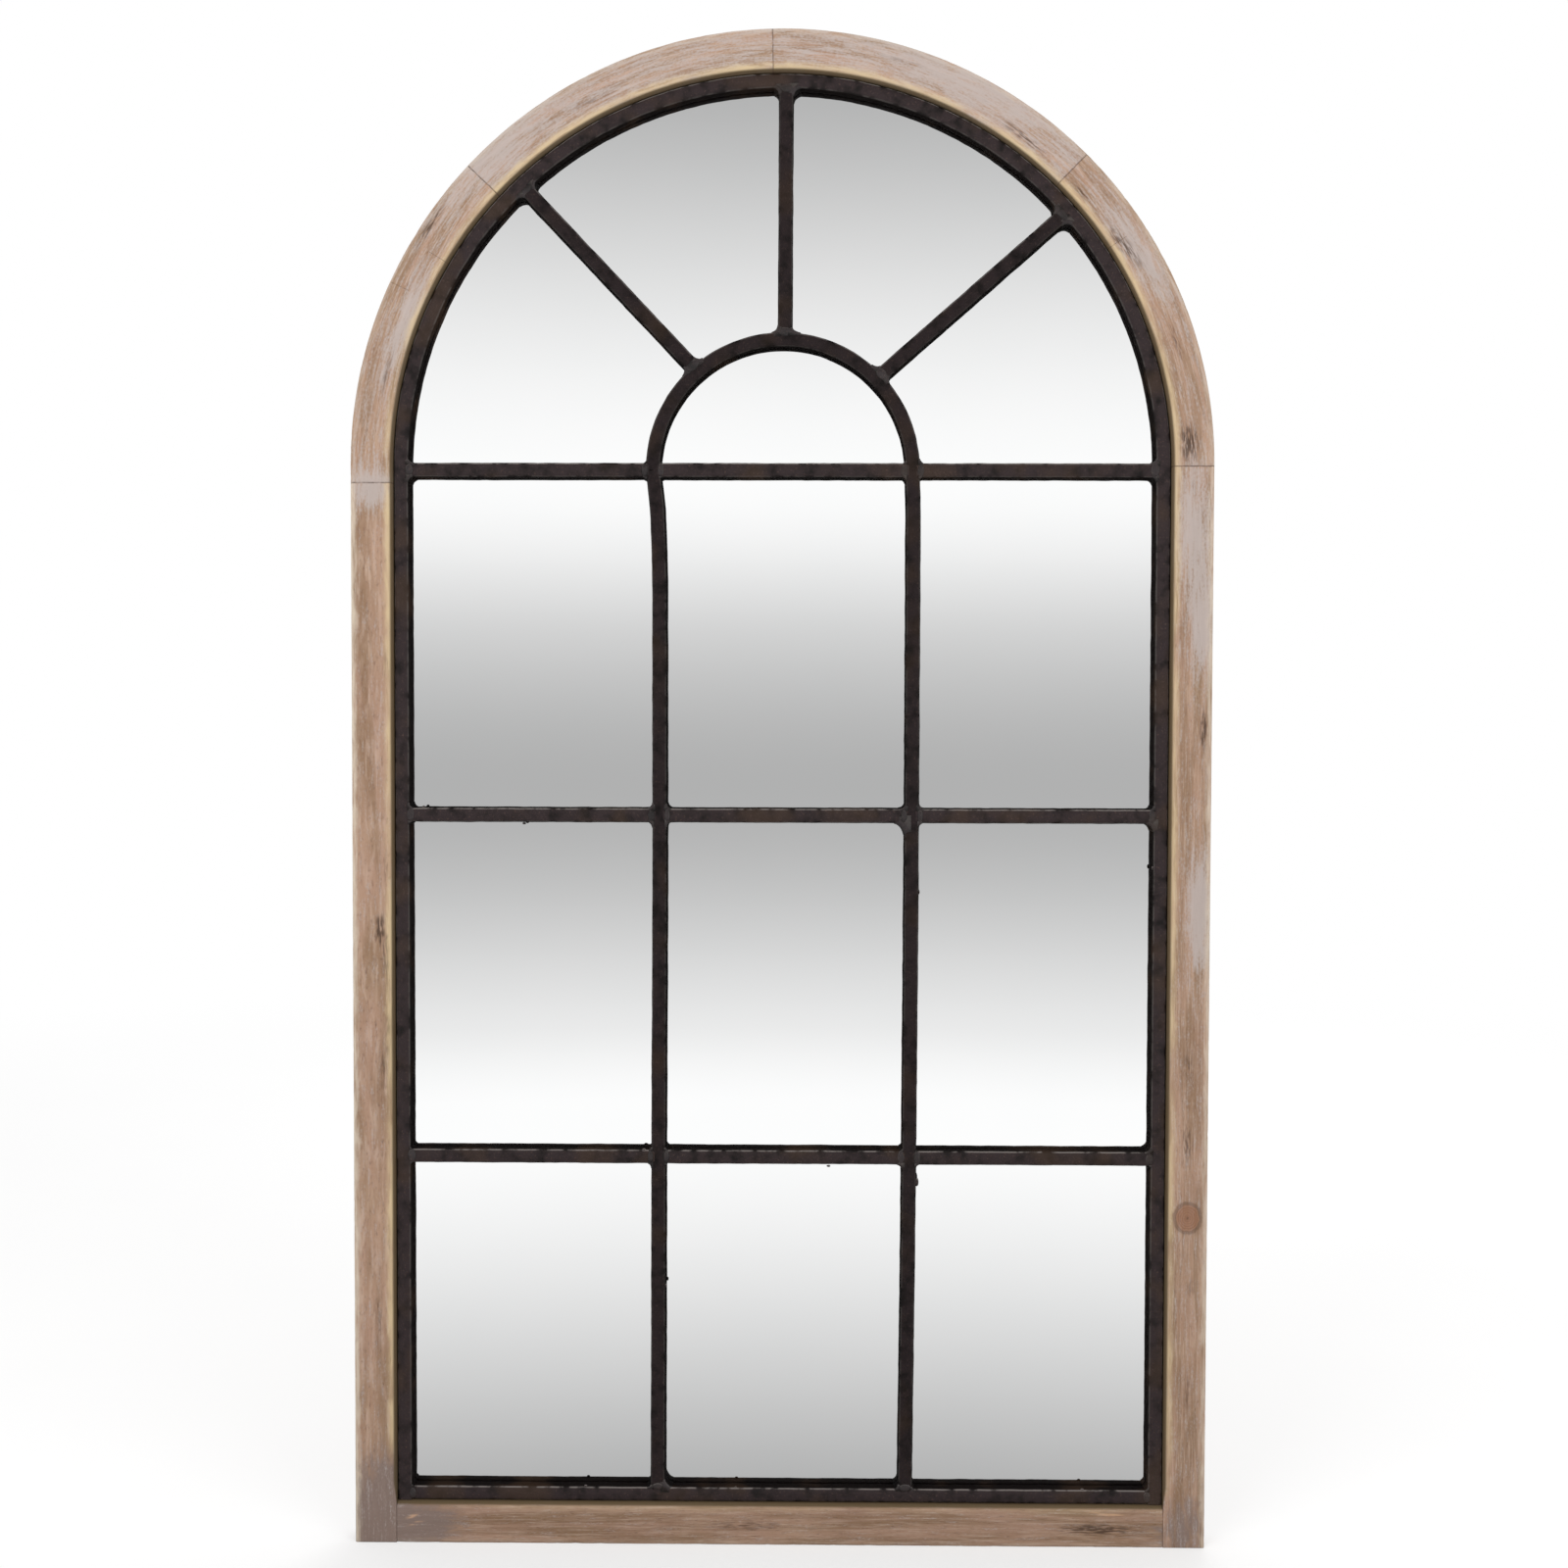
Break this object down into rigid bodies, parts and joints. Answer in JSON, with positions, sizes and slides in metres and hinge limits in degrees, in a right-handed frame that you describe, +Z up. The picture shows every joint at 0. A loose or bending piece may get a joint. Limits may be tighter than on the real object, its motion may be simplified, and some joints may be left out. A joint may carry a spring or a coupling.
{
  "type": "arched window mirror",
  "caption": "Tall wall mirror with a half-round top: a wooden surround, a welded black bar grille like a window over one sheet of mirror, and D-rings behind.",
  "frame": {"origin": "middle of the underside of the object's box", "axes": "+X to the right seen from the front, +Z up, and the mirror faces -Y"},
  "size_m": [0.7, 0.0332, 1.236],
  "materials": {
    "weathered_wood": "dry, whitewashed softwood with a honey-coloured rounded edge",
    "beech_dowel": "plain turned dowel",
    "blackened_iron": "satin black-brown paint over rolled bar and weld",
    "zinc_steel": "bright zinc",
    "mirror": "silvered behind clear float glass",
    "backing_board": "smooth brown hardboard",
    "rubber": "matt"
  },
  "bodies": {
    "root": {"left_stile": "weathered_wood", "right_stile": "weathered_wood", "bottom_rail": "weathered_wood", "arch_right_lower": "weathered_wood", "arch_right_upper": "weathered_wood", "arch_left_upper": "weathered_wood", "arch_left_lower": "weathered_wood", "corner_dowels": "beech_dowel", "arch_dowels": "beech_dowel", "grille_hoop": "blackened_iron", "grille_bottom_bar": "blackened_iron", "inner_arch": "blackened_iron", "left_upright": "blackened_iron", "right_upright": "blackened_iron", "top_cross_bar_left": "blackened_iron", "top_cross_bar_centre": "blackened_iron", "top_cross_bar_right": "blackened_iron", "middle_cross_bar_left": "blackened_iron", "middle_cross_bar_centre": "blackened_iron", "middle_cross_bar_right": "blackened_iron", "lower_cross_bar_left": "blackened_iron", "lower_cross_bar_centre": "blackened_iron", "lower_cross_bar_right": "blackened_iron", "left_spoke": "blackened_iron", "centre_spoke": "blackened_iron", "right_spoke": "blackened_iron", "crossing_welds": "blackened_iron", "perimeter_welds": "blackened_iron", "fan_welds": "blackened_iron", "grille_tabs": "blackened_iron", "grille_tab_screws": "zinc_steel", "backing_screws": "zinc_steel", "left_hanger_strap": "zinc_steel", "right_hanger_strap": "zinc_steel", "hanger_screws": "zinc_steel", "mirror_glass": "mirror", "backing_board": "backing_board", "wall_bumpers": "rubber"},
    "left_ring": {"left_d_ring": "zinc_steel"},
    "right_ring": {"right_d_ring": "zinc_steel"}
  },
  "joints": [
    {"name": "left_ring_swing", "type": "hinge", "parent": "root", "child": "left_ring", "pos_m": [-0.341, 0.01415, 0.8], "axis": [1, 0, 0], "range_deg": [0, 175]},
    {"name": "right_ring_swing", "type": "hinge", "parent": "root", "child": "right_ring", "pos_m": [0.341, 0.01415, 0.8], "axis": [1, 0, 0], "range_deg": [0, 175]}
  ]
}
